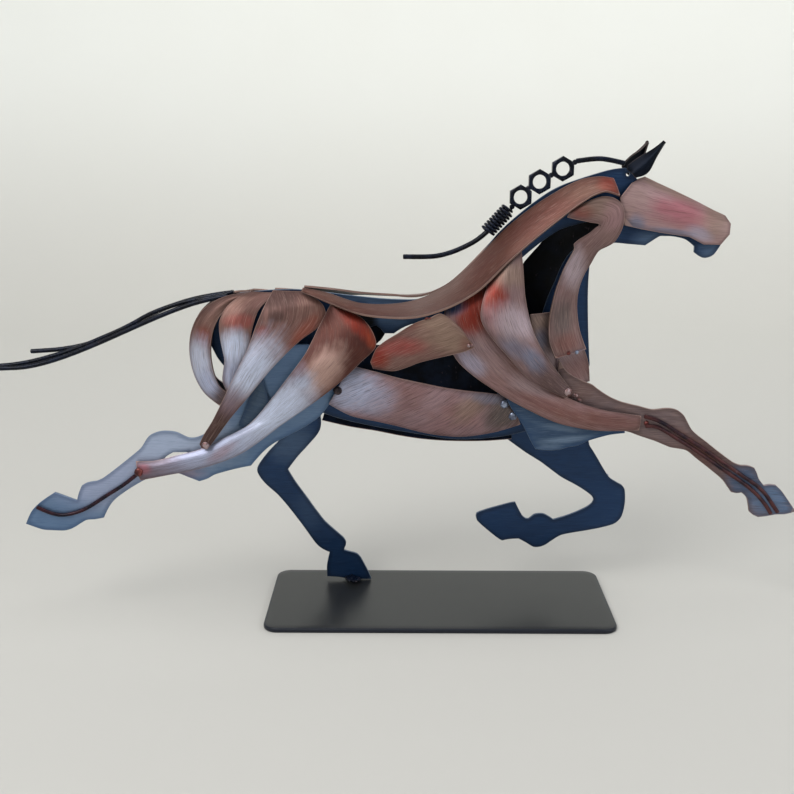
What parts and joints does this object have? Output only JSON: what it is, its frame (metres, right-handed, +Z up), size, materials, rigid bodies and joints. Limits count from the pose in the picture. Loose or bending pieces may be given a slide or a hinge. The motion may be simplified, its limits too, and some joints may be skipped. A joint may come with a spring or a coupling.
{
  "type": "scrap metal horse sculpture",
  "caption": "Galloping horse welded from curved sheet strips, flat leg plates, rods, nuts and a spring, standing on one hind hoof on a flat base plate.",
  "frame": {"origin": "centre of the base plate's underside", "axes": "+Z up; +X along the base towards the horse's head; +Y to the horse's left side"},
  "size_m": [0.513, 0.09, 0.2951],
  "materials": {
    "bronzed_steel": "bronze-brown paint rubbed along the sheet, with mauve and rust-red patches and pale worn edges",
    "slate_steel": "slate-blue paint, dry-brushed paler",
    "navy_steel": "dark navy satin paint, slightly pitted",
    "black_steel": "blue-black satin paint on rod, wire, nuts and spring",
    "base_black": "smooth satin black powder coat"
  },
  "bodies": {
    "root": {"base_plate": "base_black", "body_plate": "slate_steel", "head_cover": "bronzed_steel", "hoof_weld": "black_steel", "left_belly_strip": "bronzed_steel", "left_chest_panel": "bronzed_steel", "left_ear": "navy_steel", "left_elbow_plate": "slate_steel", "left_foreleg": "navy_steel", "left_front_shoulder_strip": "bronzed_steel", "left_hind_leg": "navy_steel", "left_neck_strip": "bronzed_steel", "left_rear_shoulder_strip": "bronzed_steel", "left_rib_patch": "bronzed_steel", "left_rump_strip_1": "bronzed_steel", "left_rump_strip_2": "bronzed_steel", "left_rump_strip_3": "bronzed_steel", "left_rump_strip_4": "bronzed_steel", "left_throat_strip": "bronzed_steel", "mane_front_wire": "black_steel", "mane_nut_1": "black_steel", "mane_nut_2": "black_steel", "mane_nut_3": "black_steel", "mane_rear_wire": "black_steel", "mane_spring": "black_steel", "right_belly_strip": "bronzed_steel", "right_chest_panel": "bronzed_steel", "right_ear": "navy_steel", "right_elbow_plate": "slate_steel", "right_foreleg": "bronzed_steel", "right_foreleg_lower_rod": "bronzed_steel", "right_foreleg_upper_rod": "bronzed_steel", "right_front_shoulder_strip": "bronzed_steel", "right_haunch_slat": "slate_steel", "right_hind_leg": "slate_steel", "right_hind_leg_rod": "navy_steel", "right_neck_strip": "bronzed_steel", "right_rear_shoulder_strip": "bronzed_steel", "right_rib_patch": "bronzed_steel", "right_rump_strip_1": "bronzed_steel", "right_rump_strip_2": "bronzed_steel", "right_rump_strip_3": "bronzed_steel", "right_rump_strip_4": "bronzed_steel", "right_throat_strip": "bronzed_steel", "tail_rod_1": "black_steel", "tail_rod_2": "black_steel", "tail_rod_3": "black_steel"}
  },
  "joints": []
}
